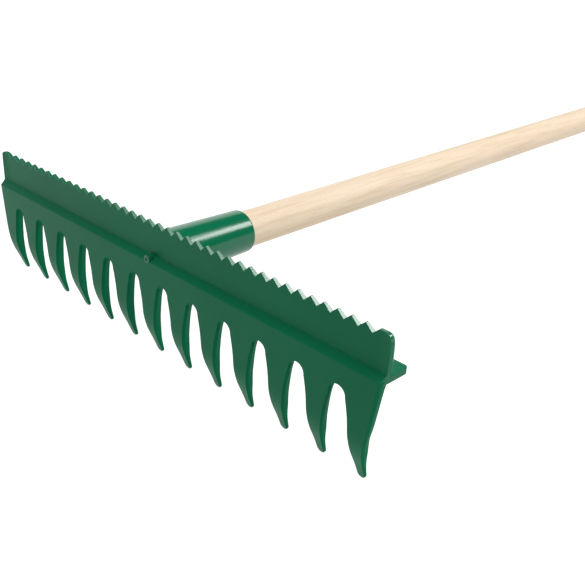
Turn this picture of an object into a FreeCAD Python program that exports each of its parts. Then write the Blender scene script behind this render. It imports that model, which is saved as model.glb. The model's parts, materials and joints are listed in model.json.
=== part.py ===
import FreeCAD, Part
import math
import os

# Double-sided garden rake: one moulded plastic head on a round wooden handle.
# The head is drawn upright, with X along its width, Y pointing back towards the
# handle, Z up, and zero height at the bottom of the serration notches. The
# finished rake is then laid down so that its tine tips and the far end of its
# handle touch the ground plane Z = 0, with the origin at the middle of the
# footprint. All lengths are millimetres.

# Blade, seen from the front
blade_width = 404.4
notch_pitch = 10.0
notch_count = 39
tooth_height = 4.2
tooth_flat = 0.7
corner_radius = 3.8

# Blade, seen from the side: front face at Y = 0 above the step
edge_thickness = 2.3
knee_thickness = 4.3
knee_z = -3.0
upper_root_thickness = 5.1
step_top_z = -19.6
step_bottom_z = -23.4
step_depth = 5.2
lower_back_y = 2.6

# Ends of the upper plate: the front face swells forward there, and behind the parting
# line the end leans in
upper_end_x = 203.4
upper_end_parting_y = 2.4
upper_end_back_x = 202.6
flare_start_x = 198.0
flare_full_x = 202.6
flare_rise = 0.9

# Tines
tine_count = 13
tine_pitch = 31.7
tip_z = -96.8
tip_half_width = 2.7
arch_top_z = -37.1
arch_radius = 6.0
tine_waist = [(-49.0, 8.4), (-56.0, 7.0), (-66.0, 5.8), (-76.0, 4.4), (-86.0, 3.0)]
outer_waist = [(-56.0, 7.9), (-66.0, 6.0), (-76.0, 4.4), (-86.0, 3.0)]
front_bend_z = -62.0
front_bend_radius = 48.0
front_bend_deg = 22.5
back_bend_z = -66.0
back_bend_radius = 100.0
back_bend_deg = 12.5
tip_round = 1.0

# Behind the parting line the tines' sides lean in, by so much per millimetre of depth
parting_y = -3.1
root_draft = 0.47
tip_draft = 0.03
side_draft = {-49.0: 0.45, -56.0: 0.36, -66.0: 0.30, -76.0: 0.09, -86.0: 0.05}
outer_root_draft = 0.13
outer_draft = {-56.0: 0.26, -66.0: 0.30, -76.0: 0.09, -86.0: 0.05}
cutter_lead = 1.5
cutter_tail = 6.0

# Stiffening flange behind the step
flange_reach = 20.5
flange_top_z = -22.6
flange_thickness = 4.4
flange_corner = 2.5

# Socket and its bore, both measured along the handle's axis from Y = 0
axis_z = -23.3
axis_rise_deg = 1.2
socket_length = 80.7
socket_root_radius = 18.0
socket_mouth_radius = 16.0
socket_lip = 1.6
socket_sink = 1.2
socket_cover = 0.8
bore_floor = 9.0
bore_floor_radius = 12.6
bore_mouth_radius = 13.95

# Gate: the moulding's sprue stub, with a shallow round recess behind its upper side
gate_z = -21.7
gate_recess_z = -20.9
gate_recess_radius = 2.9
gate_recess_floor_y = -0.4
gate_stub_radius = 3.0
gate_stub_end_y = -5.6
gate_dimple_radius = 1.5
gate_dimple_depth = 0.8

# Handle
handle_length = 1500.0
handle_radius = 13.8
handle_spigot_radius = 12.5
handle_gap = 0.4
handle_end_round = 9.0

# Countersunk wood screw, driven up through the underside of the socket
screw_station = 45.0
screw_length = 20.0
screw_shank_radius = 1.95
screw_head_radius = 3.9
screw_head_depth = 2.1
screw_head_rim = 0.3
screw_point_length = 4.0
screw_seat_radius = 16.3
screw_clearance = 0.08
recess_arm_length = 4.4
recess_arm_width = 0.9
recess_depth = 1.3

# Drawing aids: how far outlines and cutters are drawn beyond the shape they make
outline_y = -20.0
margin = 10.0

across = FreeCAD.Vector(1, 0, 0)
back = FreeCAD.Vector(0, 1, 0)
half_width = blade_width / 2.0
axis_direction = FreeCAD.Vector(
    0, math.cos(math.radians(axis_rise_deg)), math.sin(math.radians(axis_rise_deg)))
axis_start = FreeCAD.Vector(0, 0, axis_z)


def front_point(x, z, y=outline_y):
    """A point of an upright outline, by default drawn well ahead of the blade."""
    return FreeCAD.Vector(x, y, z)


def side_point(y, z):
    """A point of the blade's side profile, drawn beyond the blade's left end."""
    return FreeCAD.Vector(-half_width - margin, y, z)


def line(a, b):
    return Part.LineSegment(a, b).toShape()


def arc(a, b, c):
    return Part.Arc(a, b, c).toShape()


def curve(points):
    """One smooth curve through the points."""
    spline = Part.BSplineCurve()
    spline.interpolate(points)
    return spline.toShape()


def serrated_edge():
    """Edges of the top, from the left end flat to the right end flat."""
    first_notch = -(notch_count - 1) / 2.0 * notch_pitch
    points = [front_point(-upper_end_x + corner_radius, tooth_height)]
    for k in range(notch_count):
        notch_x = first_notch + k * notch_pitch
        shoulder = (notch_pitch - tooth_flat) / 2.0
        points.append(front_point(notch_x - shoulder, tooth_height))
        points.append(front_point(notch_x, 0.0))
        points.append(front_point(notch_x + shoulder, tooth_height))
    points.append(front_point(upper_end_x - corner_radius, tooth_height))
    return [line(a, b) for a, b in zip(points, points[1:])]


def corner(side):
    """Rounded top corner of the blade's end, from the flat to the end face."""
    middle = corner_radius * (1.0 - math.sqrt(0.5))
    return arc(
        front_point(side * (upper_end_x - corner_radius), tooth_height),
        front_point(side * (upper_end_x - middle), tooth_height - middle),
        front_point(side * upper_end_x, tooth_height - corner_radius))


def tine_side(tine_x, side, waist, start):
    """One long edge of a tine, from its root down to where the tip rounds."""
    points = [start]
    points += [front_point(tine_x + side * w, z) for z, w in waist]
    points.append(front_point(tine_x + side * tip_half_width, tip_z + tip_half_width))
    return curve(points)


def tine_tip(tine_x):
    return arc(
        front_point(tine_x - tip_half_width, tip_z + tip_half_width),
        front_point(tine_x, tip_z),
        front_point(tine_x + tip_half_width, tip_z + tip_half_width))


def blade_outline():
    """Closed front outline: serrations, ends, tines and the arches between."""
    arch_spring_z = arch_top_z - arch_radius
    first_tine = -(tine_count - 1) / 2.0 * tine_pitch
    edges = serrated_edge()
    for side in (-1, 1):
        end_top = front_point(side * upper_end_x, tooth_height - corner_radius)
        end_middle = front_point(side * upper_end_x, step_top_z)
        end_bottom = front_point(side * half_width, step_bottom_z)
        edges.append(corner(side))
        edges.append(line(end_top, end_middle))
        edges.append(line(end_middle, end_bottom))
        edges.append(tine_side(side * -first_tine, side, outer_waist, end_bottom))
    for k in range(tine_count):
        edges.append(tine_tip(first_tine + k * tine_pitch))
    for k in range(tine_count - 1):
        gap_x = first_tine + (k + 0.5) * tine_pitch
        springs = []
        for side in (-1, 1):
            spring = front_point(gap_x + side * arch_radius, arch_spring_z)
            tine_x = gap_x + side * tine_pitch / 2.0
            edges.append(tine_side(tine_x, -side, tine_waist, spring))
            springs.append(spring)
        edges.append(arc(springs[0], front_point(gap_x, arch_top_z), springs[1]))
    return Part.Wire(Part.sortEdges(edges)[0])


def bend_end(start, turn_deg, radius):
    """Middle and end of a backward bend that starts going straight down."""
    ends = []
    for share in (0.5, 1.0):
        turn = math.radians(turn_deg * share)
        ends.append((start[0] + radius * (1.0 - math.cos(turn)),
                     start[1] - radius * math.sin(turn)))
    return ends


def tip_circle_centre():
    """Centre of the rounding of a tine's tip, in the side profile."""
    turn = math.radians(front_bend_deg)
    y, z = bend_end((-step_depth, front_bend_z), front_bend_deg, front_bend_radius)[1]
    centre_z = tip_z + tip_round
    reach = (z - centre_z) / math.cos(turn)
    along = reach - tip_round * math.tan(turn)
    return (y + along * math.sin(turn) + tip_round * math.cos(turn), centre_z)


def blade_profile():
    """Closed side profile: upper plate, step, lower plate and bent tine."""
    top = tooth_height + 1.0
    front_turn = math.radians(front_bend_deg)
    back_turn = math.radians(back_bend_deg)
    tip_y, tip_centre_z = tip_circle_centre()
    front_start = (-step_depth, front_bend_z)
    front_mid, front_end = bend_end(front_start, front_bend_deg, front_bend_radius)
    back_start = (lower_back_y, back_bend_z)
    back_mid, back_end = bend_end(back_start, back_bend_deg, back_bend_radius)
    front_touch = (tip_y - tip_round * math.cos(front_turn),
                   tip_centre_z - tip_round * math.sin(front_turn))
    back_touch = (tip_y + tip_round * math.cos(back_turn),
                  tip_centre_z + tip_round * math.sin(back_turn))
    flange_bottom_z = flange_top_z - flange_thickness
    front_run = [(edge_thickness, top), (0.0, top), (0.0, step_top_z),
                 (-step_depth, step_bottom_z), front_start]
    back_run = [back_end, back_touch]
    root_run = [back_start, (lower_back_y, flange_bottom_z),
                (upper_root_thickness, flange_bottom_z), (upper_root_thickness, flange_top_z),
                (knee_thickness, knee_z), (edge_thickness, tooth_height), (edge_thickness, top)]
    edges = []
    for run in (front_run, [front_end, front_touch], back_run, root_run):
        edges += [line(side_point(*a), side_point(*b)) for a, b in zip(run, run[1:])]
    edges.append(arc(side_point(*front_start), side_point(*front_mid), side_point(*front_end)))
    edges.append(arc(side_point(*front_touch), side_point(tip_y, tip_z),
                     side_point(*back_touch)))
    edges.append(arc(side_point(*back_end), side_point(*back_mid), side_point(*back_start)))
    return Part.Wire(Part.sortEdges(edges)[0])


def upright_prism(side, points, bottom_z):
    """Solid above a polygon of (distance from the middle, depth) points."""
    corners = [FreeCAD.Vector(side * x, y, bottom_z) for x, y in points]
    outline = Part.makePolygon(corners + corners[:1])
    return Part.Face(outline).extrude(FreeCAD.Vector(0, 0, margin - bottom_z))


def upper_end_flare(side):
    """Wedge that swells the front face forward at one end of the upper plate."""
    points = [(flare_start_x, 0.0), (flare_full_x, -flare_rise), (upper_end_x, -flare_rise),
              (upper_end_x, edge_thickness / 2.0), (flare_start_x, edge_thickness / 2.0)]
    return upright_prism(side, points, step_top_z - flare_rise)


def upper_end_cutter(side):
    """Solid behind one end of the upper plate's parting line that makes the end lean in."""
    slope = (upper_end_x - upper_end_back_x) / (upper_root_thickness - upper_end_parting_y)
    points = [(upper_end_x, upper_end_parting_y),
              (upper_end_x - slope * margin, upper_end_parting_y + margin),
              (upper_end_x + margin, upper_end_parting_y + margin),
              (upper_end_x + margin, upper_end_parting_y)]
    return upright_prism(side, points, step_top_z)


def leaning_side(x, away, waist, draft, y, start):
    """One long edge of a tine at depth y, where its side has begun to lean in."""
    grow = y - parting_y
    points = [start]
    points += [front_point(x + away * (w - draft[z] * grow), z, y) for z, w in waist]
    points.append(front_point(x + away * (tip_half_width - tip_draft * grow),
                              tip_z + tip_half_width, y))
    return curve(points)


def closed_below(first, last):
    """Three lines that join two edges' lower ends, well below the tips."""
    low = tip_z - margin
    corners = [first, front_point(first.x, low, first.y), front_point(last.x, low, last.y), last]
    return [line(a, b) for a, b in zip(corners, corners[1:])]


def gap_wire(gap_x, y):
    """Outline of the gap between two tines at depth y."""
    radius = arch_radius + root_draft * (y - parting_y)
    spring_z = arch_top_z - arch_radius
    springs = [front_point(gap_x + side * radius, spring_z, y) for side in (-1, 1)]
    sides = [leaning_side(gap_x + side * tine_pitch / 2.0, -side, tine_waist, side_draft,
                          y, spring)
             for side, spring in zip((-1, 1), springs)]
    edges = [arc(springs[0], front_point(gap_x, spring_z + radius, y), springs[1])] + sides
    edges += closed_below(sides[1].Vertexes[-1].Point, sides[0].Vertexes[-1].Point)
    return Part.Wire(Part.sortEdges(edges)[0])


def end_wire(side, y):
    """Outline of the space beside an outermost tine at depth y."""
    tine_x = side * (tine_count - 1) / 2.0 * tine_pitch
    top = front_point(side * (half_width - outer_root_draft * (y - parting_y)), step_bottom_z, y)
    edge = leaning_side(tine_x, side, outer_waist, outer_draft, y, top)
    outside = front_point(side * (half_width + margin), step_bottom_z, y)
    edges = [line(outside, top), edge] + closed_below(edge.Vertexes[-1].Point, outside)
    return Part.Wire(Part.sortEdges(edges)[0])


def draft_cutters():
    """Solids that give the tines their lean behind the parting line. They start in
    the open gaps, ahead of that line, and widen backwards."""
    ahead = parting_y - cutter_lead
    behind = lower_back_y + cutter_tail
    cutters = []
    for k in range(tine_count - 1):
        gap_x = (k + 1 - tine_count / 2.0) * tine_pitch
        cutters.append(Part.makeLoft([gap_wire(gap_x, y) for y in (ahead, behind)], True, True))
    for side in (-1, 1):
        cutters.append(Part.makeLoft([end_wire(side, y) for y in (ahead, behind)], True, True))
    return cutters


def blade():
    """The plate with its tines: front outline and side profile in common."""
    from_front = Part.Face(blade_outline()).extrude(back * (margin + flange_reach - outline_y))
    from_side = Part.Face(blade_profile()).extrude(across * (blade_width + 2.0 * margin))
    solid = from_front.common(from_side)
    for side in (-1, 1):
        solid = solid.fuse(upper_end_flare(side).common(from_front))
    return solid.cut(draft_cutters() + [upper_end_cutter(side) for side in (-1, 1)])


def flange():
    """Flat stiffening rib along the back, with its rear corners rounded."""
    depth = flange_reach - parting_y
    plate = Part.makeBox(blade_width, depth, flange_thickness, FreeCAD.Vector(
        -half_width, parting_y, flange_top_z - flange_thickness))
    upright = [e for e in plate.Edges
               if abs(e.Length - flange_thickness) < 0.01 and e.CenterOfMass.y > 1.0]
    return plate.makeFillet(flange_corner, upright)


def along_axis(distance):
    return axis_start + axis_direction * distance


def socket_body():
    """Slightly tapered socket with a rounded lip. It starts inside the lower plate,
    and its upper half is cut back so that the thinner upper plate covers it."""
    cone = Part.makeCone(socket_root_radius, socket_mouth_radius,
                         socket_length + socket_sink, along_axis(-socket_sink), axis_direction)
    mouth = [e for e in cone.Edges if abs(e.Length - 2 * math.pi * socket_mouth_radius) < 0.1]
    solid = cone.makeFillet(socket_lip, mouth)
    room = 2.0 * socket_root_radius
    ahead = Part.makeBox(room, room, room, FreeCAD.Vector(
        -socket_root_radius, socket_cover - room, flange_top_z))
    return solid.cut(ahead)


def socket_bore():
    return Part.makeCone(bore_floor_radius, bore_mouth_radius, socket_length - bore_floor,
                         along_axis(bore_floor), axis_direction)


def screw_frame():
    """Point on the handle's axis at the screw, and the way out of its hole."""
    outward = axis_direction.cross(across) * -1.0
    if outward.z > 0:
        outward = outward * -1.0
    return along_axis(screw_station), outward


def screw_space(clearance, depth):
    """Shape of the screw's head and shank, grown all round by the clearance."""
    centre, outward = screw_frame()
    head_top = centre + outward * (screw_seat_radius + 3.0 * clearance)
    inward = outward * -1.0
    rim = Part.makeCylinder(screw_head_radius + clearance, screw_head_rim, head_top, inward)
    cone_start = head_top + inward * screw_head_rim
    cone = Part.makeCone(screw_head_radius + clearance, screw_shank_radius + clearance,
                         screw_head_depth - screw_head_rim, cone_start, inward)
    shank = Part.makeCylinder(screw_shank_radius + clearance, depth, head_top, inward)
    return rim.fuse([cone, shank])


def screw_entry():
    """Clear way above the seated screw head, out through the socket's skin."""
    centre, outward = screw_frame()
    return Part.makeCylinder(screw_head_radius + screw_clearance, 3.0,
                             centre + outward * screw_seat_radius, outward)


def screw():
    centre, outward = screw_frame()
    inward = outward * -1.0
    head_top = centre + outward * screw_seat_radius
    body = screw_space(0.0, screw_length - screw_point_length)
    point_start = head_top + inward * (screw_length - screw_point_length)
    point = Part.makeCone(screw_shank_radius, 0.2, screw_point_length, point_start, inward)
    solid = body.fuse(point)
    for long_way, short_way in ((recess_arm_length, recess_arm_width),
                                (recess_arm_width, recess_arm_length)):
        arm = Part.makeBox(long_way, short_way, recess_depth + 1.0, FreeCAD.Vector(
            -long_way / 2.0, -short_way / 2.0, -recess_depth))
        arm.Placement = FreeCAD.Placement(
            head_top, FreeCAD.Rotation(FreeCAD.Vector(0, 0, 1), outward))
        solid = solid.cut(arm)
    return solid.removeSplitter()


def gate_recess():
    deep = step_depth + gate_recess_floor_y + 2.0
    return Part.makeCylinder(gate_recess_radius, deep, FreeCAD.Vector(
        0, -step_depth - 2.0, gate_recess_z), back)


def gate_stub():
    """Cut-off sprue with a shallow dimple in its end."""
    length = gate_recess_floor_y - gate_stub_end_y + 0.5
    end = FreeCAD.Vector(0, gate_stub_end_y, gate_z)
    stub = Part.makeCylinder(gate_stub_radius, length, end, back)
    dimple = Part.makeCone(gate_dimple_radius, 0.4, gate_dimple_depth, end, back)
    return stub.cut(dimple)


def rake_head():
    solid = blade().fuse(flange()).fuse(socket_body())
    solid = solid.cut([socket_bore(), gate_recess(), screw_entry(),
                       screw_space(screw_clearance, socket_root_radius)])
    return solid.fuse(gate_stub()).removeSplitter()


def handle():
    """Round shaft: tapered spigot, straight grip and rounded free end."""
    start = bore_floor + handle_gap
    end = start + handle_length
    side_way = FreeCAD.Vector(0, -axis_direction.z, axis_direction.y)

    def at(distance, radius):
        return along_axis(distance) + side_way * radius

    quarter = math.sqrt(0.5)
    dome_start = end - handle_end_round
    crown = handle_radius - handle_end_round
    edges = [
        line(at(start, 0.0), at(start, handle_spigot_radius)),
        line(at(start, handle_spigot_radius), at(socket_length, handle_radius)),
        line(at(socket_length, handle_radius), at(dome_start, handle_radius)),
        arc(at(dome_start, handle_radius),
            at(dome_start + handle_end_round * quarter, crown + handle_end_round * quarter),
            at(end, crown)),
        line(at(end, crown), at(end, 0.0)),
        line(at(end, 0.0), at(start, 0.0)),
    ]
    shaft = Part.Face(Part.Wire(edges)).revolve(axis_start, axis_direction, 360)
    return shaft.cut(screw_space(screw_clearance, screw_length + 0.5))


def lay_down(shapes):
    """Turn and drop the parts so that tine tips and handle end touch Z = 0."""
    tip_y, tip_centre_z = tip_circle_centre()
    end = along_axis(bore_floor + handle_gap + handle_length - handle_end_round)
    low = FreeCAD.Vector(0, axis_direction.z, -axis_direction.y)
    end_centre = end + low * (handle_radius - handle_end_round)
    run = end_centre.y - tip_y
    rise = end_centre.z - tip_centre_z
    slope = math.atan2(rise, run) - math.asin(
        (handle_end_round - tip_round) / math.hypot(run, rise))
    turn = FreeCAD.Rotation(across, -math.degrees(slope))
    tip_centre = turn.multVec(FreeCAD.Vector(0, tip_y, tip_centre_z))
    lift = FreeCAD.Vector(0, 0, tip_round - tip_centre.z)
    for shape in shapes.values():
        shape.Placement = FreeCAD.Placement(lift, turn).multiply(shape.Placement)
    box = Part.makeCompound(list(shapes.values())).optimalBoundingBox()
    shift = FreeCAD.Vector(0, -(box.YMin + box.YMax) / 2.0, 0)
    for shape in shapes.values():
        shape.translate(shift)
    print("head turned by %.4f degrees, lifted %.3f, moved back %.3f" % (
        -math.degrees(slope), lift.z, shift.y))
    return shapes


def main():
    os.makedirs("parts", exist_ok=True)
    shapes = lay_down({
        "rake_head": rake_head(),
        "handle": handle(),
        "fixing_screw": screw(),
    })
    for name, shape in shapes.items():
        shape.exportStep("parts/%s.step" % name)
        box = shape.optimalBoundingBox()
        print(name, shape.isValid(), len(shape.Solids), "volume %.0f" % shape.Volume,
              "z %.3f to %.3f" % (box.ZMin, box.ZMax), "y %.3f to %.3f" % (box.YMin, box.YMax))


main()
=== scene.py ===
import json
import math

import bmesh
import bpy
from mathutils import Matrix, Vector


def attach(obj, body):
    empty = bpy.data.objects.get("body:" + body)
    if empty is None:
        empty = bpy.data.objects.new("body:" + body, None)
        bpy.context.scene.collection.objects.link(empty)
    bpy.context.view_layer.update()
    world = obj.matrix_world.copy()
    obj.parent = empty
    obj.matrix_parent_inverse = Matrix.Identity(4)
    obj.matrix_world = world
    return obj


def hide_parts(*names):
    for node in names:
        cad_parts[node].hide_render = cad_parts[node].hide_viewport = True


# A double-sided garden rake: moulded green head, beech handle, one fixing screw.
# The head is modelled upright in its own space, in millimetres: X along its width,
# Y back towards the handle, Z up, zero height at the bottom of the serrations.
# One matrix then lays it on the floor in the shared frame, in metres.

# Blade outline, seen from the front: X across, Z up
HALF_WIDTH = 202.2
UPPER_HALF_WIDTH = 203.4
NOTCH_PITCH = 10.0
NOTCH_COUNT = 39
TOOTH_HEIGHT = 4.2
TOOTH_FLAT = 0.7
CORNER_RADIUS = 3.8
TINE_COUNT = 13
TINE_PITCH = 31.7
TIP_Z = -96.8
TIP_RADIUS = 2.7
ARCH_TOP_Z = -37.1
ARCH_RADIUS = 6.0
# (height, half width) down an inner tine, and down the outer side of an end tine
TINE_WAIST = [(-43.1, 9.85), (-49.0, 8.4), (-56.0, 7.0), (-66.0, 5.8), (-76.0, 4.4),
              (-86.0, 3.0), (-94.1, 2.7)]
OUTER_WAIST = [(-23.4, 12.0), (-56.0, 7.9), (-66.0, 6.0), (-76.0, 4.4), (-86.0, 3.0),
               (-94.1, 2.7)]

# Blade profile, seen from the side: heights, and depths behind the upper front face
EDGE_BACK = 2.3
KNEE_Z = -3.0
KNEE_BACK = 4.3
ROOT_Z = -22.6
ROOT_BACK = 5.1
STEP_TOP_Z = -19.6
STEP_BOTTOM_Z = -23.4
STEP_DEPTH = 5.2
STEP_SOFTNESS = 0.45
LOWER_BACK_Z = -27.0
LOWER_BACK = 2.6
# The back's slope to the lower back starts this far under the root and ends as far above it
ROOT_INSET = 0.6
# A bend is (radius, angle)
FRONT_BEND_Z = -62.0
FRONT_BEND = (48.0, math.radians(22.5))
BACK_BEND_Z = -66.0
BACK_BEND = (100.0, math.radians(12.5))

# Moulded edges: small rounding, and sides that lean out from the front face to a
# parting line, then in again towards the back, strongly on the tines
EDGE_ROUND = 0.25
# The least cosine that the offset at a corner is divided by
MITER_LIMIT = 0.35
# A side's shape is (parting line's share of the depth, lean out to it, lean in behind it)
SERRATION_SIDE = (0.5, 0.0, 0.0)
UPPER_END_SIDE = (0.52, 0.0, 0.36)
# How far in from the upper plate's end its side's shape applies
UPPER_END_REACH = 3.9
TINE_PARTING = 0.3
TINE_LEAN = 0.14
# (height, lean in behind the parting line) down an inner side, and down an outermost side
TINE_BACK_LEAN = [(-49.0, 0.47), (-56.0, 0.38), (-66.0, 0.32), (-76.0, 0.11), (-86.0, 0.07),
                  (-94.1, 0.05)]
OUTER_BACK_LEAN = [(-23.4, 0.13), (-38.0, 0.21), (-56.0, 0.27), (-66.0, 0.30), (-76.0, 0.11),
                   (-86.0, 0.07), (-94.1, 0.05)]
# Ridge left along the parting line
FLASH = 0.07
FLASH_HALF_WIDTH = 0.25

# The front face swells forward at both ends of the upper plate
FLARE_START_X = 198.0
FLARE_FULL_X = 202.6
FLARE_RISE = 0.9

# Finishes of the moulding, besides satin: polished socket and serrations, dull tine sides
POLISHED, DULL = 1, 2
SERRATION_LOW_Z = -1.0

# Flange, socket and gate
FLANGE_HALF_WIDTH = 202.0
FLANGE_FRONT = -3.0
FLANGE_BACK = 20.5
FLANGE_CORNER = 2.5
FLANGE_THICKNESS = 4.4
FLANGE_ROUND = 0.3
AXIS_Z = -23.3
AXIS_RISE = math.radians(1.2)
SOCKET_LENGTH = 80.7
SOCKET_ROOT_RADIUS = 18.0
SOCKET_MOUTH_RADIUS = 16.0
SOCKET_LIP = 1.6
SOCKET_UPPER_ROOT_Y = 2.0
SOCKET_LOWER_ROOT_Y = -2.0
BORE_FLOOR = 9.0
BORE_FLOOR_RADIUS = 12.6
BORE_MOUTH_RADIUS = 13.95
BORE_CHAMFER_DEPTH = 0.5
BORE_CHAMFER_WIDTH = 0.35
GATE_Z = -21.7
GATE_RECESS_Z = -20.9
GATE_RECESS_RADIUS = 2.9
GATE_RECESS_FLOOR = -0.4
GATE_RECESS_DRAFT = 0.2
# (height above the floor, inset) of the rounded corner inside the recess
GATE_RECESS_CORNER = [(0.4, 0.0), (0.1, 0.15), (0.0, 0.4)]
GATE_STUB_RADIUS = 3.0
GATE_STUB_END = -5.6
GATE_STUB_SUNK = 0.6
# (depth, radius) of the stub's end, from the dimple's middle out to its rounded edge
GATE_STUB_FACE = [(0.7, 0.4), (0.65, 0.9), (0.2, 1.3), (0.0, 1.6), (0.0, 2.3), (0.1, 2.65),
                  (0.35, 2.9), (0.8, GATE_STUB_RADIUS)]

# Handle and screw
HANDLE_RADIUS = 13.8
HANDLE_GAP = 0.4
HANDLE_LENGTH = 1500.0
HANDLE_SPIGOT_RADIUS = 12.5
HANDLE_SPIGOT_CHAMFER = 1.0
HANDLE_END_ROUND = 9.0
SCREW_STATION = 45.0
SCREW_SEAT_RADIUS = 16.3
SCREW_SHANK_RADIUS = 1.95
SCREW_LENGTH = 20.0
# (height above the seat, radius) down the screw's head and plain neck, and up its hole
SCREW_HEAD = [(0.0, 3.65), (-0.25, 3.9), (-0.45, 3.8), (-2.1, SCREW_SHANK_RADIUS),
              (-5.0, SCREW_SHANK_RADIUS)]
SCREW_HOLE = [(-6.0, 2.03), (-2.1, 2.03), (-0.3, 3.98), (1.0, 3.98), (1.35, 4.15), (4.0, 4.6)]
PILOT_HOLE = [(-SCREW_LENGTH, 1.9), (0.0, 2.03)]
THREAD_START = -5.4
THREAD_PITCH = 1.8
THREAD_CORE_RADIUS = 1.35
THREAD_STEEPNESS = 5.0
SCREW_POINT_LENGTH = 4.0
SCREW_POINT_RADIUS = 0.12
# (half length, half width, height) at the floor and above the top of a recess arm
RECESS_SECTIONS = [(1.1, 0.3, -1.3), (2.35, 0.5, 0.5)]

# Mesh detail: segments round a turned part, steps along each arc, extra heights of rows
ROUND_SEGMENTS = 96
SMALL_SEGMENTS = 64
STUB_SEGMENTS = 48
SCREW_SEGMENTS = 32
ROUND_STEPS = 2
CORNER_STEPS = 6
ARC_STEPS = 8
BEND_STEPS = 12
DOME_STEPS = 12
THREAD_STEPS = 96
TINE_COLUMNS = 4
FILL_ROWS = [-11.0, -21.6, -23.2, -25.5, -31.0]
# How far a cutting tool stands out, and the longest edge dissolved after a cut
TOOL_REACH = 3.0
SLIVER = 0.002

# Camera, in metres: its place and the directions of its picture
CAMERA_PLACE = Vector((0.41244, -1.03715, 0.31338))
CAMERA_RIGHT = Vector((0.71076, 0.7033, 0.014))
CAMERA_DOWN = Vector((0.34029, -0.32635, -0.88187))
CAMERA_AHEAD = Vector((-0.61565, 0.63156, -0.47128))
SENSOR_WIDTH = 36.0
LENS = 49.573

# Soft lights: (name, azimuth, elevation, power in watts, size in metres). The azimuth
# runs from the handle's side, at zero, to the right.
LIGHTS = [
    ("key_back_right", 32.0, 33.5, 20.0, 0.6),
    ("key_shoulder", 31.0, 46.0, 8.0, 0.6),
    ("side_right", 70.0, 60.0, 32.0, 1.4),
    ("overhead", 0.0, 90.0, 27.0, 1.4),
    ("front", 180.0, 45.0, 3.0, 1.4),
    ("low_back_left", 315.0, 18.0, 9.0, 1.4),
    ("low_left", 270.0, 18.0, 4.5, 1.4),
    ("low_front_left", 225.0, 18.0, 12.0, 1.4),
]
LIGHT_TARGET = Vector((0.0, -0.7, 0.06))
LIGHT_DISTANCE = 2.4
WORLD_STRENGTH = 0.02
FLOOR_HALF_SIZE = 9.0
FLOOR_SQUARES = 12


# ---------------------------------------------------------------- placement

def shaft_lean(mount):
    """Angle of the handle's shaft above the floor, from the record's shaft mount."""
    direction = Vector(mount["axis"])
    return math.atan2(direction.z, direction.y)


def head_matrix(mount):
    """From the head's space in millimetres to the frame in metres. The shaft mount
    gives the handle's direction and the middle of its bare length."""
    turn = Matrix.Rotation(shaft_lean(mount) - AXIS_RISE, 4, "X")
    middle = Vector((0, 0, AXIS_Z)) + axis_way() * (SOCKET_LENGTH + mount["dims"]["length_mm"] / 2)
    place = Vector(mount["pos_m"]) * 1000 - turn @ middle
    return Matrix.Scale(0.001, 4) @ Matrix.Translation(place) @ turn


def axis_way():
    """Direction of the handle's axis in the head's space."""
    return Vector((0, math.cos(AXIS_RISE), math.sin(AXIS_RISE)))


def axis_matrix():
    """Space whose Z runs along the handle's axis, starting at the blade."""
    start = Matrix.Translation((0, 0, AXIS_Z))
    return start @ Matrix.Rotation(AXIS_RISE - math.pi / 2, 4, "X")


# ---------------------------------------------------------------- mesh helpers

def make_object(name, vertices, faces):
    """New object with this mesh, in the scene."""
    mesh = bpy.data.meshes.new(name)
    mesh.from_pydata(vertices, [], faces)
    mesh.validate()
    piece = bpy.data.objects.new(name, mesh)
    bpy.context.scene.collection.objects.link(piece)
    return piece


def finish_faces(piece, finish, first=0, low=-math.inf, high=math.inf):
    """Gives a piece's faces a finish, from the first one on, between two heights."""
    for face in list(piece.data.polygons)[first:]:
        if low < face.center.z < high:
            face.material_index = finish
    return piece


def ring_faces(lower, upper):
    """Quads between two closed rings of vertex numbers."""
    count = len(lower)
    return [(lower[i], lower[(i + 1) % count], upper[(i + 1) % count], upper[i])
            for i in range(count)]


def lathe(name, stations, matrix, segments=ROUND_SEGMENTS):
    """Closed turned solid from (distance along Z, radius) stations."""
    vertices, rings = [], []
    for distance, radius in stations:
        rings.append(range(len(vertices), len(vertices) + segments))
        for k in range(segments):
            angle = 2 * math.pi * k / segments
            vertices.append(matrix @ Vector((radius * math.sin(angle), radius * math.cos(angle),
                                             distance)))
    faces = []
    for lower, upper in zip(rings, rings[1:]):
        faces += ring_faces(lower, upper)
    faces.append(tuple(reversed(rings[0])))
    faces.append(tuple(rings[-1]))
    return make_object(name, vertices, outward(vertices, faces))


def outward(vertices, faces):
    """The faces of a closed mesh, all turned so that they face out."""
    volume = 0.0
    for face in faces:
        a = Vector(vertices[face[0]])
        for i in range(1, len(face) - 1):
            volume += a.dot(Vector(vertices[face[i]]).cross(Vector(vertices[face[i + 1]])))
    return faces if volume > 0 else [tuple(reversed(face)) for face in faces]


def combine(piece, tool, operation):
    """Boolean of piece with tool, which is then removed."""
    modifier = piece.modifiers.new("combine", "BOOLEAN")
    modifier.operation = operation
    modifier.solver = "EXACT"
    modifier.object = tool
    graph = bpy.context.evaluated_depsgraph_get()
    old = piece.data
    piece.data = bpy.data.meshes.new_from_object(piece.evaluated_get(graph))
    piece.modifiers.clear()
    piece.data.name = piece.name
    bpy.data.meshes.remove(old)
    bpy.data.meshes.remove(tool.data)
    drop_slivers(piece.data)


def drop_slivers(mesh):
    """Dissolves the faces and edges of no size that a boolean can leave."""
    edited = bmesh.new()
    edited.from_mesh(mesh)
    bmesh.ops.dissolve_degenerate(edited, dist=SLIVER, edges=edited.edges)
    edited.to_mesh(mesh)
    edited.free()


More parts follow.
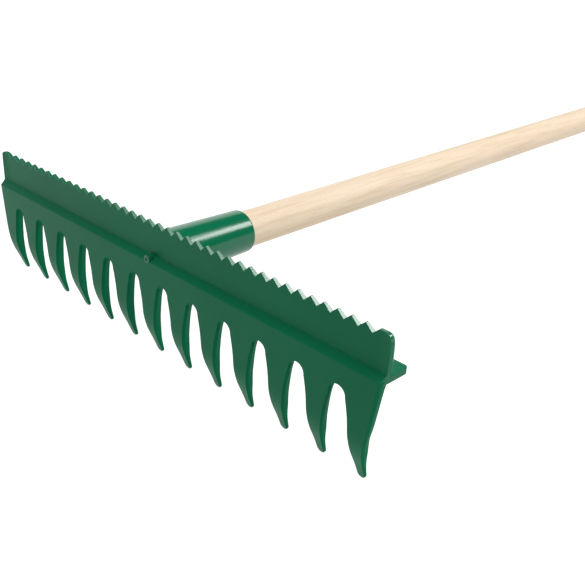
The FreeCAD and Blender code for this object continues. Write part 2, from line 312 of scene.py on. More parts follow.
def smooth(piece, sharp_degrees=21.0):
    """Smooth shading with crisp corners and flat large faces."""
    piece.data.shade_smooth()
    piece.data.set_sharp_from_angle(angle=math.radians(sharp_degrees))
    weighted = piece.modifiers.new("flat_faces", "WEIGHTED_NORMAL")
    weighted.keep_sharp = True
    weighted.weight = 100


def ramp(depth, softness):
    """Zero, then rising one for one, with a rounded start."""
    if depth <= -softness:
        return 0.0
    if depth < softness:
        return (depth + softness) ** 2 / (4 * softness)
    return depth


def bend(drop, radius, turn):
    """How far a surface has swung back, at a drop below the start of its bend."""
    if drop <= 0:
        return 0.0
    arc_drop = radius * math.sin(turn)
    if drop < arc_drop:
        return radius - math.sqrt(radius ** 2 - drop ** 2)
    return radius * (1 - math.cos(turn)) + (drop - arc_drop) * math.tan(turn)


def between(value, low, high):
    """Straight line through two (position, height) points."""
    return low[1] + (high[1] - low[1]) * (value - low[0]) / (high[0] - low[0])


def curve_through(points, z):
    """Smooth width at a height, through (z, width) points that go down in z."""
    k = max(i for i in range(len(points) - 1) if i == 0 or z <= points[i][0])
    before, after = points[max(k - 1, 0)], points[min(k + 2, len(points) - 1)]
    start, end = points[k], points[k + 1]
    run = end[0] - start[0]
    t = (z - start[0]) / run
    leave = (end[1] - before[1]) / (end[0] - before[0]) * run
    arrive = (after[1] - start[1]) / (after[0] - start[0]) * run
    return ((2 * t ** 3 - 3 * t ** 2 + 1) * start[1] + (t ** 3 - 2 * t ** 2 + t) * leave
            + (3 * t ** 2 - 2 * t ** 3) * end[1] + (t ** 3 - t ** 2) * arrive)


# ---------------------------------------------------------------- blade

def front_of(z):
    """Depth of the blade's front face at a height, without the flare."""
    slope = STEP_DEPTH / (STEP_TOP_Z - STEP_BOTTOM_Z)
    step = ramp(STEP_TOP_Z - z, STEP_SOFTNESS / 2) - ramp(STEP_BOTTOM_Z - z, STEP_SOFTNESS)
    return bend(FRONT_BEND_Z - z, *FRONT_BEND) - slope * step


def flare(x, z):
    """How far the front face swells forward at the upper plate's ends."""
    across = between(abs(x), (FLARE_START_X, 0.0), (FLARE_FULL_X, FLARE_RISE))
    down = between(z, (STEP_TOP_Z - FLARE_RISE, 0.0), (STEP_TOP_Z, 1.0))
    return max(0.0, min(FLARE_RISE, across)) * max(0.0, min(1.0, down))


def back_of(z):
    """Depth of the blade's back face at a height."""
    if z > KNEE_Z:
        return between(z, (KNEE_Z, KNEE_BACK), (TOOTH_HEIGHT, EDGE_BACK))
    slope_top, slope_end = ROOT_Z - ROOT_INSET, LOWER_BACK_Z + ROOT_INSET
    if z > slope_top:
        return between(z, (ROOT_Z, ROOT_BACK), (KNEE_Z, KNEE_BACK))
    if z > slope_end:
        return between(z, (slope_end, LOWER_BACK), (slope_top, ROOT_BACK))
    return LOWER_BACK + bend(BACK_BEND_Z - z, *BACK_BEND)


def back_lean(x, z):
    """How fast a side leans in behind the parting line, per millimetre of depth."""
    outermost_middle = (TINE_COUNT - 1) / 2 * TINE_PITCH
    leans = OUTER_BACK_LEAN if abs(x) > outermost_middle else TINE_BACK_LEAN
    if z >= leans[0][0]:
        return leans[0][1]
    for low, high in zip(leans[1:], leans):
        if z >= low[0]:
            return between(z, low, high)
    return leans[-1][1]


def side_shape(point, facing):
    """Shape of the side at a point of the front outline, facing this way in X."""
    tine = (TINE_PARTING, TINE_LEAN, back_lean(point.x, point.y))
    if point.y < STEP_BOTTOM_Z:
        return tine
    if abs(point.x) < UPPER_HALF_WIDTH - UPPER_END_REACH:
        return SERRATION_SIDE
    upper = [a + (b - a) * abs(facing) for a, b in zip(SERRATION_SIDE, UPPER_END_SIDE)]
    share = min(1.0, between(point.y, (STEP_BOTTOM_Z, 0.0), (STEP_TOP_Z, 1.0)))
    return [a + (b - a) * share for a, b in zip(tine, upper)]


def steps(start, end, count):
    """Even steps from start to end, both included."""
    return [start + (end - start) * i / count for i in range(count + 1)]


def tine_rows():
    """(z, half width, outer half width) of a tine from its arch's top to its tip."""
    spring_z = ARCH_TOP_Z - ARCH_RADIUS
    rows = []
    for angle in steps(90, 0, ARC_STEPS)[:-1]:
        turn = math.radians(angle)
        z = spring_z + ARCH_RADIUS * math.sin(turn)
        rows.append((z, TINE_PITCH / 2 - ARCH_RADIUS * math.cos(turn)))
    radius, turn = FRONT_BEND
    bend_end_z = FRONT_BEND_Z - radius * math.sin(turn)
    straight = steps(spring_z, FRONT_BEND_Z, ARC_STEPS)[:-1]
    curved = steps(FRONT_BEND_Z, bend_end_z, BEND_STEPS)[:-1]
    lower = steps(bend_end_z, TIP_Z + TIP_RADIUS, ARC_STEPS)
    rows += [(z, curve_through(TINE_WAIST, z)) for z in straight + curved + lower]
    rows = [(z, half, curve_through(OUTER_WAIST, z)) for z, half in rows]
    for angle in steps(0, 90, ARC_STEPS)[1:]:
        turn = math.radians(angle)
        half = TIP_RADIUS * math.cos(turn)
        rows.append((TIP_Z + TIP_RADIUS - TIP_RADIUS * math.sin(turn), half, half))
    return rows


def plate_rows():
    """Heights of the rows across the whole plate, from the knee down."""
    step_rows = [STEP_TOP_Z + STEP_SOFTNESS / 2, STEP_TOP_Z, STEP_TOP_Z - STEP_SOFTNESS / 2,
                 STEP_BOTTOM_Z + STEP_SOFTNESS, STEP_BOTTOM_Z, STEP_BOTTOM_Z - STEP_SOFTNESS]
    return sorted([KNEE_Z] + step_rows + FILL_ROWS, reverse=True)


class Outline:
    """Front outline of the blade, clockwise, with the numbers of its key points."""

    def __init__(self):
        self.points = []
        self.top = self.serrations()
        self.right_corner = self.corner(1)
        self.right_end = [self.add(self.end_x(z), z) for z in plate_rows()]
        self.tines()
        self.left_end = [self.add(-self.end_x(z), z) for z in reversed(plate_rows())][::-1]
        self.left_corner = self.corner(-1)

    def add(self, x, z):
        """Adds a point and gives its number."""
        self.points.append(Vector((x, z)))
        return len(self.points) - 1

    @staticmethod
    def end_x(z):
        """How far out the blade's end is at a height."""
        if z >= STEP_BOTTOM_Z:
            share = min(1.0, between(z, (STEP_BOTTOM_Z, 0.0), (STEP_TOP_Z, 1.0)))
            return HALF_WIDTH + (UPPER_HALF_WIDTH - HALF_WIDTH) * share
        return HALF_WIDTH - OUTER_WAIST[0][1] + curve_through(OUTER_WAIST, z)

    def serrations(self):
        """Top edge from the left end's flat to the right end's flat."""
        flat_end = UPPER_HALF_WIDTH - CORNER_RADIUS
        shoulder = (NOTCH_PITCH - TOOTH_FLAT) / 2
        made = [self.add(-flat_end, TOOTH_HEIGHT)]
        for k in range(NOTCH_COUNT):
            notch_x = (k - (NOTCH_COUNT - 1) / 2) * NOTCH_PITCH
            made += [self.add(notch_x - shoulder, TOOTH_HEIGHT), self.add(notch_x, 0.0),
                     self.add(notch_x + shoulder, TOOTH_HEIGHT)]
        made.append(self.add(flat_end, TOOTH_HEIGHT))
        return made

    def corner(self, side):
        """Rounded top corner, in clockwise order, without the flat's own end."""
        angles = steps(0, 90, CORNER_STEPS)[1:] if side > 0 else steps(90, 0, CORNER_STEPS)[:-1]
        made = []
        for angle in angles:
            turn = math.radians(angle)
            x = UPPER_HALF_WIDTH - CORNER_RADIUS + CORNER_RADIUS * math.sin(turn)
            z = TOOTH_HEIGHT - CORNER_RADIUS + CORNER_RADIUS * math.cos(turn)
            made.append(self.add(side * x, z))
        return made

    def tines(self):
        """Right and left edges of every tine; neighbours share the arch's top."""
        rows = tine_rows()
        self.right = {}
        self.left = {}
        for k in reversed(range(TINE_COUNT)):
            middle = (k - (TINE_COUNT - 1) / 2) * TINE_PITCH
            last = k == TINE_COUNT - 1
            right = [] if last else [self.left[k + 1][0]]
            for z, half, outer in rows[len(right):]:
                right.append(self.add(middle + (outer if last else half), z))
            left = [right[-1]]
            for z, half, outer in reversed(rows[:-1]):
                left.append(self.add(middle - (outer if k == 0 else half), z))
            self.right[k] = right
            self.left[k] = left[::-1]

    def normals(self):
        """Outward miter at every point: moving by it shifts both edges by one."""
        made = []
        count = len(self.points)
        for i, point in enumerate(self.points):
            a = (point - self.points[i - 1]).normalized()
            b = (self.points[(i + 1) % count] - point).normalized()
            middle = Vector((-a.y - b.y, a.x + b.x)).normalized()
            made.append(middle / max(MITER_LIMIT, middle.dot(Vector((-a.y, a.x)))))
        return made


def rim_point(point, normal, kind, amount):
    """Point of the rim at a point of the outline. On the rounded front and back edges the
    amount is an angle, and by the parting line it is a distance from it."""
    thick = back_of(point.y) - front_of(point.y)
    share, lean_out, lean_in = side_shape(point, normal.normalized().x)
    parting = thick * share
    out = lean_out * parting
    if kind == "parting":
        flash = FLASH if amount == 0.0 and point.y < STEP_TOP_Z else 0.0
        at = point + normal * (out + flash)
        return Vector((at.x, front_of(at.y) + parting + amount, at.y))
    out = out - lean_in * (thick - parting) if kind == "back" else 0.0
    at = point + normal * (out - EDGE_ROUND * (1 - math.sin(amount)))
    rise = EDGE_ROUND * (1 - math.cos(amount))
    if kind == "front":
        return Vector((at.x, front_of(at.y) - flare(at.x, at.y) + rise, at.y))
    return Vector((at.x, back_of(at.y) - rise, at.y))


def rim_rings(outline):
    """Rings of points round the outline, from the front face to the back face."""
    turns = [math.radians(a) for a in steps(0, 90, ROUND_STEPS)]
    plan = [("front", turn) for turn in turns]
    plan += [("parting", shift) for shift in (-FLASH_HALF_WIDTH, 0.0, FLASH_HALF_WIDTH)]
    plan += [("back", turn) for turn in reversed(turns)]
    rim = list(zip(outline.points, outline.normals()))
    return [[rim_point(point, normal, kind, amount) for point, normal in rim]
            for kind, amount in plan]


def zipper(lower, upper, vertices):
    """Triangles between two rows of vertices that run the same way in X."""
    faces = []
    i = j = 0
    while i < len(lower) - 1 or j < len(upper) - 1:
        next_lower = vertices[lower[i + 1]][0] if i < len(lower) - 1 else math.inf
        next_upper = vertices[upper[j + 1]][0] if j < len(upper) - 1 else math.inf
        if next_lower <= next_upper:
            faces.append((lower[i], lower[i + 1], upper[j]))
            i += 1
        else:
            faces.append((lower[i], upper[j + 1], upper[j]))
            j += 1
    return faces


def strip(lower, upper):
    """Quads between two rows with as many vertices as each other."""
    return [(lower[i], lower[i + 1], upper[i + 1], upper[i]) for i in range(len(lower) - 1)]


def row(vertices, surface, start, end, shares):
    """Row of vertices on the surface between two vertices of the rim."""
    a, b = vertices[start], vertices[end]
    made = [start]
    for share in shares:
        at = a.lerp(b, share)
        vertices.append(Vector((at.x, surface(at.z), at.z)))
        made.append(len(vertices) - 1)
    return made + [end]


def tine_cap(vertices, ring, outline, surface):
    """Faces of the tines inside a rim ring, and the row of vertices at their roots."""
    even = [i / TINE_COLUMNS for i in range(1, TINE_COLUMNS)]
    faces, roots = [], []
    for k in range(TINE_COUNT):
        pairs = [(ring[a], ring[b]) for a, b in zip(outline.left[k], outline.right[k])]
        rows = [row(vertices, surface, a, b, even) for a, b in pairs[:-1]]
        for upper, lower in zip(rows, rows[1:]):
            faces += strip(lower, upper)
        tip = pairs[-1][0]
        faces += [(tip, b, a) for a, b in zip(rows[-1], rows[-1][1:])]
        roots += rows[0][:-1]
    roots.append(rows[0][-1])
    return faces, roots


def plate_cap(vertices, ring, outline, surface, roots):
    """Faces of the plate inside a rim ring, from the tines' roots to the serrations."""
    left, right = vertices[roots[0]].x, vertices[roots[-1]].x
    shares = [(vertices[i].x - left) / (right - left) for i in roots[1:-1]]
    faces = []
    base = roots
    for a, b in list(zip(outline.left_end, outline.right_end))[:0:-1]:
        upper = row(vertices, surface, ring[a], ring[b], shares)
        faces += strip(base, upper)
        base = upper
    top = [ring[i] for i in outline.top]
    knee = [ring[outline.left_end[0]]]
    for i in top:
        vertices.append(Vector((vertices[i].x, surface(KNEE_Z), KNEE_Z)))
        knee.append(len(vertices) - 1)
    knee.append(ring[outline.right_end[0]])
    faces += zipper(base, knee, vertices)
    faces += strip(knee[1:-1], top)
    left_corner = [ring[i] for i in reversed(outline.left_corner)]
    right_corner = [ring[i] for i in reversed(outline.right_corner)]
    faces.append((knee[0], knee[1], top[0], *left_corner))
    faces.append((top[-1], knee[-2], knee[-1], *right_corner))
    return faces


def cap(vertices, ring, outline, surface):
    """Fills the front or back of the blade inside its rim ring."""
    faces, roots = tine_cap(vertices, ring, outline, surface)
    return faces + plate_cap(vertices, ring, outline, surface, roots)


def blade():
    """Serrated plate, step and tines in one closed mesh."""
    outline = Outline()
    vertices, numbers = [], []
    for ring in rim_rings(outline):
        numbers.append(range(len(vertices), len(vertices) + len(ring)))
        vertices += ring
    faces = cap(vertices, numbers[0], outline, front_of)
    faces += [tuple(reversed(f)) for f in cap(vertices, numbers[-1], outline, back_of)]
    first_side = len(faces)
    for front, behind in zip(numbers, numbers[1:]):
        faces += ring_faces(front, behind)
    piece = make_object("rake_head_moulding", vertices, outward(vertices, faces))
    finish_faces(piece, POLISHED, first_side, low=SERRATION_LOW_Z)
    return finish_faces(piece, DULL, first_side, high=STEP_BOTTOM_Z)


# ---------------------------------------------------------------- rest of the head

def flange_outline():
    """Flange seen from above, with its rear corners rounded."""
    outline = [Vector((side * FLANGE_HALF_WIDTH, FLANGE_FRONT)) for side in (-1, 1)]
    angles = steps(0, 90, CORNER_STEPS)
    for side, way in ((1, angles), (-1, reversed(angles))):
        for angle in way:
            turn = math.radians(angle)
            x = FLANGE_HALF_WIDTH - FLANGE_CORNER * (1 - math.cos(turn))
            y = FLANGE_BACK - FLANGE_CORNER * (1 - math.sin(turn))
            outline.append(Vector((side * x, y)))
    return outline


def flange():
    """Flat rib along the back, with its long edges rounded."""
    levels = []
    for angle in steps(0, 90, ROUND_STEPS):
        turn = math.radians(angle)
        levels.append((FLANGE_ROUND * (1 - math.sin(turn)), FLANGE_ROUND * (1 - math.cos(turn))))
    levels += [(inset, FLANGE_THICKNESS - drop) for inset, drop in reversed(levels)]
    outline = flange_outline()
    vertices, rings = [], []
    for inset, drop in levels:
        rings.append(range(len(vertices), len(vertices) + len(outline)))
        for point in outline:
            x = point.x - math.copysign(inset, point.x)
            y = point.y - (inset if point.y > 0 else 0.0)
            vertices.append(Vector((x, y, ROOT_Z - drop)))
    faces = []
    for upper, lower in zip(rings, rings[1:]):
        faces += ring_faces(upper, lower)
    faces += [tuple(reversed(rings[0])), tuple(rings[-1])]
    return make_object("flange", vertices, outward(vertices, faces))


def socket():
    """Tapered socket with a rounded lip; its root is sunk into the plate."""
    stations = [(0.0, SOCKET_ROOT_RADIUS)]
    lip_start = SOCKET_LENGTH - SOCKET_LIP
    first_row, row_count = 6.0, 10
    for distance in steps(first_row, lip_start, row_count):
        stations.append((distance, between(distance, (0.0, SOCKET_ROOT_RADIUS),
                                           (SOCKET_LENGTH, SOCKET_MOUTH_RADIUS))))
    for angle in steps(0, 90, ARC_STEPS)[1:]:
        turn = math.radians(angle)
        stations.append((lip_start + SOCKET_LIP * math.sin(turn),
                         SOCKET_MOUTH_RADIUS - SOCKET_LIP * (1 - math.cos(turn))))
    piece = lathe("socket", stations, axis_matrix())
    for vertex in list(piece.data.vertices)[:ROUND_SEGMENTS]:
        above = vertex.co.z > ROOT_Z - 1.0
        vertex.co.y = SOCKET_UPPER_ROOT_Y if above else SOCKET_LOWER_ROOT_Y
    return finish_faces(piece, POLISHED)


def bore():
    """Tapered bore with a chamfer. The chamfer runs on a little past the socket's mouth,
    so that no ring of the tool lies in the mouth's own plane."""
    past = 0.1
    outer_radius = BORE_MOUTH_RADIUS + 0.5
    chamfer_end = BORE_CHAMFER_WIDTH * (1 + past / BORE_CHAMFER_DEPTH)
    stations = [(BORE_FLOOR, BORE_FLOOR_RADIUS),
                (SOCKET_LENGTH - BORE_CHAMFER_DEPTH, BORE_MOUTH_RADIUS),
                (SOCKET_LENGTH + past, BORE_MOUTH_RADIUS + chamfer_end),
                (SOCKET_LENGTH + TOOL_REACH, outer_radius)]
    return lathe("bore", stations, axis_matrix())


def gate_matrix(y, z):
    """Space whose Z points back into the blade, on its middle plane."""
    return Matrix.Translation((0, y, z)) @ Matrix.Rotation(-math.pi / 2, 4, "X")


def gate_recess():
    """Round recess cut back through the step to just in front of the upper plate."""
    start = -STEP_DEPTH - TOOL_REACH
    depth = GATE_RECESS_FLOOR - start
    radius = GATE_RECESS_RADIUS
    stations = [(0.0, radius + GATE_RECESS_DRAFT)]
    stations += [(depth - height, radius - inset) for height, inset in GATE_RECESS_CORNER]
    return lathe("gate_recess", stations, gate_matrix(start, GATE_RECESS_Z), SMALL_SEGMENTS)


def gate_stub():
    """Trimmed sprue with a shallow dimple in its end."""
    root = (GATE_RECESS_FLOOR - GATE_STUB_END + GATE_STUB_SUNK, GATE_STUB_RADIUS + 0.1)
    stub = lathe("gate_stub", GATE_STUB_FACE + [root], gate_matrix(GATE_STUB_END, GATE_Z),
                 STUB_SEGMENTS)
    return finish_faces(stub, POLISHED)


def screw_matrix(radius):
    """Space whose Z points out of the socket's underside, at a distance from the axis."""
    out = Vector((0, math.sin(AXIS_RISE), -math.cos(AXIS_RISE)))
    at = Vector((0, 0, AXIS_Z)) + axis_way() * SCREW_STATION + out * radius
    return Matrix.Translation(at) @ Matrix.Rotation(AXIS_RISE + math.pi, 4, "X")


def screw_hole():
    """Countersunk hole through the socket's wall, with an easy entry."""
    return lathe("screw_hole", SCREW_HOLE, screw_matrix(SCREW_SEAT_RADIUS), SMALL_SEGMENTS)


def rake_head(place, finishes):
    """The whole moulding, with its satin, polished and dull finishes."""
    piece = blade()
    wear(piece, finishes)
    for tool, operation in ((flange(), "UNION"), (socket(), "UNION"), (bore(), "DIFFERENCE"),
                            (gate_recess(), "DIFFERENCE"), (screw_hole(), "DIFFERENCE"),
                            (gate_stub(), "UNION")):
        wear(tool, finishes)
        combine(piece, tool, operation)
    piece.data.transform(place)
    smooth(piece)
    return piece


# ---------------------------------------------------------------- handle and screw

def handle(place):
    """Turned shaft: tapered spigot, straight grip and rounded free end."""
    start = BORE_FLOOR + HANDLE_GAP
    end = start + HANDLE_LENGTH
    stations = [(start, HANDLE_SPIGOT_RADIUS - HANDLE_SPIGOT_CHAMFER),
                (start + HANDLE_SPIGOT_CHAMFER, HANDLE_SPIGOT_RADIUS)]
    taper_row, taper_count = 20.0, 6
    stations += [(d, between(d, (start, HANDLE_SPIGOT_RADIUS), (SOCKET_LENGTH, HANDLE_RADIUS)))
                 for d in steps(taper_row, SOCKET_LENGTH, taper_count)]
    dome_start = end - HANDLE_END_ROUND
    grip_row, grip_count = SOCKET_LENGTH + 2.0, 60
    stations += [(d, HANDLE_RADIUS) for d in steps(grip_row, dome_start, grip_count)]
    for angle in steps(0, 90, DOME_STEPS)[1:]:
        turn = math.radians(angle)
        stations.append((dome_start + HANDLE_END_ROUND * math.sin(turn),
                         HANDLE_RADIUS - HANDLE_END_ROUND * (1 - math.cos(turn))))
    piece = lathe("beech_handle", stations, axis_matrix())
    pilot = lathe("pilot", PILOT_HOLE, screw_matrix(SCREW_SEAT_RADIUS), SCREW_SEGMENTS)
    combine(piece, pilot, "DIFFERENCE")
    piece.data.transform(place)
    smooth(piece)
    return piece


def thread_row(distance):
    """(distance, radius) round the screw at one height of its rolled thread."""
    taper = min(1.0, (SCREW_LENGTH + distance) / SCREW_POINT_LENGTH)
    core = SCREW_POINT_RADIUS + (THREAD_CORE_RADIUS - SCREW_POINT_RADIUS) * taper
    stations = []
    for k in range(SCREW_SEGMENTS):
        phase = (distance / THREAD_PITCH + k / SCREW_SEGMENTS) % 1.0
        crest = max(0.0, 1.0 - abs(phase - 0.5) * THREAD_STEEPNESS)
        height = (SCREW_SHANK_RADIUS - THREAD_CORE_RADIUS) * crest * taper
        stations.append((distance, core + height))
    return stations


def screw(place):
    """Countersunk wood screw with a rolled thread and a cross recess."""
    rows = [[station] * SCREW_SEGMENTS for station in SCREW_HEAD]
    rows += [thread_row(d) for d in steps(THREAD_START, -SCREW_LENGTH, THREAD_STEPS)]
    vertices, rings = [], []
    for stations in rows:
        rings.append(range(len(vertices), len(vertices) + SCREW_SEGMENTS))
        for k, (distance, radius) in enumerate(stations):
            angle = 2 * math.pi * k / SCREW_SEGMENTS
            vertices.append(Vector((radius * math.cos(angle), radius * math.sin(angle), distance)))
    faces = []
    for upper, lower in zip(rings, rings[1:]):
        faces += ring_faces(upper, lower)
    faces += [tuple(reversed(rings[0])), tuple(rings[-1])]
    piece = make_object("fixing_screw_threaded", vertices, outward(vertices, faces))
    for turn in (0.0, math.pi / 2):
        combine(piece, recess_arm(turn), "DIFFERENCE")
    piece.data.transform(place @ screw_matrix(SCREW_SEAT_RADIUS))
    smooth(piece, sharp_degrees=40.0)
    return piece


def recess_arm(turn):
    """Tapered slot of the screw's cross recess."""
    spin = Matrix.Rotation(turn, 4, "Z")
    corners = []
    for half_length, half_width, z in RECESS_SECTIONS:
        corners += [spin @ Vector((sx * half_length, sy * half_width, z))
                    for sx, sy in ((-1, -1), (1, -1), (1, 1), (-1, 1))]
    faces = [(3, 2, 1, 0), (4, 5, 6, 7)] + ring_faces(range(4), range(4, 8))
    return make_object("recess_arm", corners, outward(corners, faces))


# ---------------------------------------------------------------- materials

class Nodes:
    """A material's node tree, with short calls to add and join nodes."""

    def __init__(self, name):
        self.material = bpy.data.materials.new(name)
        self.material.use_nodes = True
        self.tree = self.material.node_tree
        self.shader = self.tree.nodes["Principled BSDF"]

    def add(self, kind, inputs=None, **settings):
        """New node with these settings and these values or links on its inputs."""
        node = self.tree.nodes.new(kind)
        for key, value in settings.items():
            setattr(node, key, value)
        for key, value in (inputs or {}).items():
            self.put(node.inputs[key], value)
        return node

    def put(self, socket_in, value):
        """Links an output to a socket, or sets the socket's own value."""
        if isinstance(value, bpy.types.NodeSocket):
            self.tree.links.new(value, socket_in)
        else:
            socket_in.default_value = value

    def surface(self, **inputs):
        """Sets the shader's inputs; an underscore in a name stands for a space."""
        for key, value in inputs.items():
            self.put(self.shader.inputs[key.replace("_", " ")], value)

    def position(self):
        """Place on the piece, in metres."""
        return self.add("ShaderNodeTexCoord").outputs["Object"]

    def turned(self, vector, angle):
        """The vector turned about X."""
        return self.add("ShaderNodeMapping", {
            "Vector": vector, "Rotation": (angle, 0, 0)}).outputs["Vector"]

    def stretched(self, vector, scale):
        """The vector multiplied by a scale, which stretches a pattern where it is small."""
        return self.add("ShaderNodeMapping", {"Vector": vector, "Scale": scale}).outputs["Vector"]

    def noise(self, vector, scale, detail, roughness):
        """Soft noise between zero and one."""
        return self.add("ShaderNodeTexNoise", {
            "Vector": vector, "Scale": scale, "Detail": detail,
            "Roughness": roughness}).outputs["Fac"]

    def ramp(self, value, stops):
        """Colour that runs through (position, colour) stops."""
        node = self.add("ShaderNodeValToRGB", {"Fac": value})
        elements = node.color_ramp.elements
        while len(elements) < len(stops):
            elements.new(0.5)
        for element, (position, colour) in zip(elements, stops):
            element.position = position
            element.color = (*colour, 1.0)
        return node.outputs["Color"]

    def multiply(self, base, tint, share):
        """Colour times tint, by a share."""
        factor, first, second, result = 0, 6, 7, 2
        return self.add("ShaderNodeMix", {factor: share, first: base, second: tint},
                        data_type="RGBA", blend_type="MULTIPLY").outputs[result]

    def spread(self, value, low, high):
        """Maps zero to one onto low to high."""
        return self.add("ShaderNodeMapRange", {
            "Value": value, "To Min": low, "To Max": high}).outputs["Result"]

    def bump(self, height, distance, strength):
        """Normal of a surface with a height pattern, whose full height is a distance."""
        return self.add("ShaderNodeBump", {
            "Height": height, "Distance": distance, "Strength": strength}).outputs["Normal"]


def plastic(name, roughness, texture, shine):
    """Moulded green plastic: cloudy pigment, handling marks and a fine spark-eroded skin."""
    n = Nodes(name)
    position = n.position()
    cloud = n.noise(position, scale=14.0, detail=3.0, roughness=0.55)
    fine = n.noise(position, scale=1500.0, detail=2.0, roughness=0.6)
    handling = n.noise(position, scale=60.0, detail=4.0, roughness=0.6)
    n.surface(
        Base_Color=n.ramp(cloud, [(0.3, (0.002, 0.119, 0.053)), (0.7, (0.003, 0.131, 0.059))]),
        Roughness=n.spread(handling, *roughness),
        Normal=n.bump(fine, distance=0.00003, strength=texture),
        Specular_IOR_Level=shine)
    return n.material


def beech(name, lean):
    """Sanded beech: long faint growth lines, broad pale and darker streaks, short dark flecks."""
    n = Nodes(name)
    straight = n.turned(n.position(), -lean)
    along = n.stretched(straight, (1.0, 0.035, 1.0))
    dashes = n.stretched(straight, (1.0, 0.16, 1.0))
    lines = n.noise(along, scale=420.0, detail=4.0, roughness=0.6)
    broad = n.noise(along, scale=90.0, detail=2.0, roughness=0.5)
    flecks = n.noise(dashes, scale=1500.0, detail=1.0, roughness=0.5)
    base = n.ramp(broad, [
        (0.3, (0.65, 0.525, 0.385)), (0.5, (0.69, 0.565, 0.43)), (0.72, (0.71, 0.595, 0.465))])
    shade = n.ramp(lines, [
        (0.32, (0.88, 0.83, 0.77)), (0.5, (0.97, 0.96, 0.94)), (0.68, (1.0, 1.0, 1.0))])
    dots = n.ramp(flecks, [(0.66, (1.0, 1.0, 1.0)), (0.74, (0.80, 0.68, 0.56))])
    n.surface(
        Base_Color=n.multiply(n.multiply(base, shade, share=1.0), dots, share=0.6),
        Roughness=n.spread(lines, 0.62, 0.48),
        Normal=n.bump(lines, distance=0.00012, strength=0.5),
        Specular_IOR_Level=0.3)
    return n.material


def zinc(name):
    """Bright zinc plating with soft mottling and fine scratches."""
    n = Nodes(name)
    position = n.position()
    mottle = n.noise(position, scale=900.0, detail=3.0, roughness=0.6)
    scratches = n.noise(n.stretched(position, (1.0, 12.0, 1.0)), scale=700.0, detail=2.0,
                        roughness=0.5)
    n.surface(
        Base_Color=n.ramp(mottle, [(0.35, (0.50, 0.51, 0.53)), (0.65, (0.68, 0.68, 0.68))]),
        Roughness=n.spread(scratches, 0.22, 0.42),
        Normal=n.bump(scratches, distance=0.00003, strength=0.3),
        Metallic=1.0)
    return n.material


def pale_floor():
    """Matt paper that glows almost white, so that no hard shadow shows on it."""
    n = Nodes("pale_floor")
    grain = n.noise(n.position(), scale=30.0, detail=3.0, roughness=0.5)
    n.surface(
        Base_Color=n.ramp(grain, [(0.3, (0.19, 0.19, 0.19)), (0.7, (0.21, 0.21, 0.21))]),
        Roughness=0.9,
        Specular_IOR_Level=0.1,
        Emission_Color=(1.0, 1.0, 1.0, 1.0),
        Emission_Strength=0.95)
    return n.material


def wear(piece, materials):
    """Gives a piece these materials."""
    for material in materials:
        piece.data.materials.append(material)


def dress(piece, node):
    """Puts a piece on the rake's body, in place of a CAD node."""
    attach(piece, "root")
    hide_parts(node)


# ---------------------------------------------------------------- stage

def camera():
    """Three-quarter view from the right and a little above, close to the head."""
    data = bpy.data.cameras.new("camera")
    data.sensor_width = SENSOR_WIDTH
    data.lens = LENS
    data.clip_end = 100.0
    turn = Matrix((CAMERA_RIGHT, -CAMERA_DOWN, -CAMERA_AHEAD)).transposed().to_4x4()
    seen = bpy.data.objects.new("camera", data)
    seen.matrix_world = Matrix.Translation(CAMERA_PLACE) @ turn
    bpy.context.scene.collection.objects.link(seen)
    bpy.context.scene.camera = seen


def floor():
    """Flat square floor, in even squares."""
    edges = steps(-FLOOR_HALF_SIZE, FLOOR_HALF_SIZE, FLOOR_SQUARES)
    vertices = [Vector((x, y, 0.0)) for y in edges for x in edges]
    wide = len(edges)
    faces = [(j * wide + i, j * wide + i + 1, (j + 1) * wide + i + 1, (j + 1) * wide + i)
             for j in range(FLOOR_SQUARES) for i in range(FLOOR_SQUARES)]
    ground = make_object("studio_floor", vertices, faces)
    wear(ground, [pale_floor()])


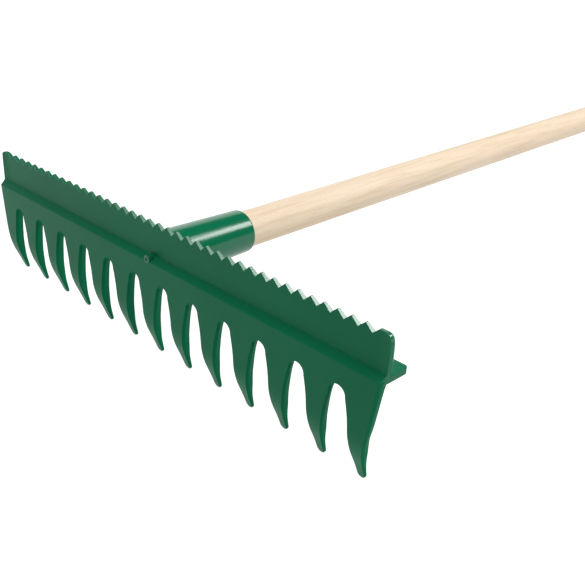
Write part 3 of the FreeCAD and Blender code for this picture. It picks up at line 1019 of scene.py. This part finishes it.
def softbox(name, azimuth, elevation, power, size):
    """Soft square light that faces the head."""
    data = bpy.data.lights.new(name, "AREA")
    data.shape = "SQUARE"
    data.size = size
    data.energy = power
    light = bpy.data.objects.new(name, data)
    turn, tilt = math.radians(azimuth), math.radians(elevation)
    flat = math.cos(tilt)
    toward = Vector((math.sin(turn) * flat, math.cos(turn) * flat, math.sin(tilt)))
    light.location = LIGHT_TARGET + toward * LIGHT_DISTANCE
    light.rotation_mode = "QUATERNION"
    light.rotation_quaternion = toward.to_track_quat("Z", "Y")
    bpy.context.scene.collection.objects.link(light)


def studio():
    """Dim white world and the soft lights."""
    world = bpy.data.worlds.new("studio")
    world.use_nodes = True
    background = world.node_tree.nodes["Background"]
    background.inputs["Color"].default_value = (1.0, 1.0, 1.0, 1.0)
    background.inputs["Strength"].default_value = WORLD_STRENGTH
    bpy.context.scene.world = world
    for light in LIGHTS:
        softbox(*light)
    bpy.context.scene.view_settings.view_transform = "Standard"


# ---------------------------------------------------------------- scene


with open("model.json") as file:
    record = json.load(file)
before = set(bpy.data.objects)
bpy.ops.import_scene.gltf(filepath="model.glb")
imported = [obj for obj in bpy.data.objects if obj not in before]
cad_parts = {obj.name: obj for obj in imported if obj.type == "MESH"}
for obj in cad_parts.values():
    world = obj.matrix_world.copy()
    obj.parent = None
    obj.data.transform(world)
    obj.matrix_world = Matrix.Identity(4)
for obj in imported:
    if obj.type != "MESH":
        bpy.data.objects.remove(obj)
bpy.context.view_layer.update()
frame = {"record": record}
shaft = next(m for m in frame["record"]["mounts"] if m["name"] == "handle_shaft")
place = head_matrix(shaft)

satin = plastic("moulded_green_satin", roughness=(0.30, 0.42), texture=0.4, shine=0.078)
polished = plastic("moulded_green_polished", roughness=(0.14, 0.22), texture=0.03, shine=0.36)
dull = plastic("moulded_green_dull", roughness=(0.50, 0.60), texture=0.4, shine=0.015)
dress(rake_head(place, [satin, polished, dull]), "rake_head")
shaft_piece = handle(place)
wear(shaft_piece, [beech("sanded_beech", shaft_lean(shaft))])
dress(shaft_piece, "handle")
screw_piece = screw(place)
wear(screw_piece, [zinc("zinc_plating")])
dress(screw_piece, "fixing_screw")

floor()
studio()
camera()
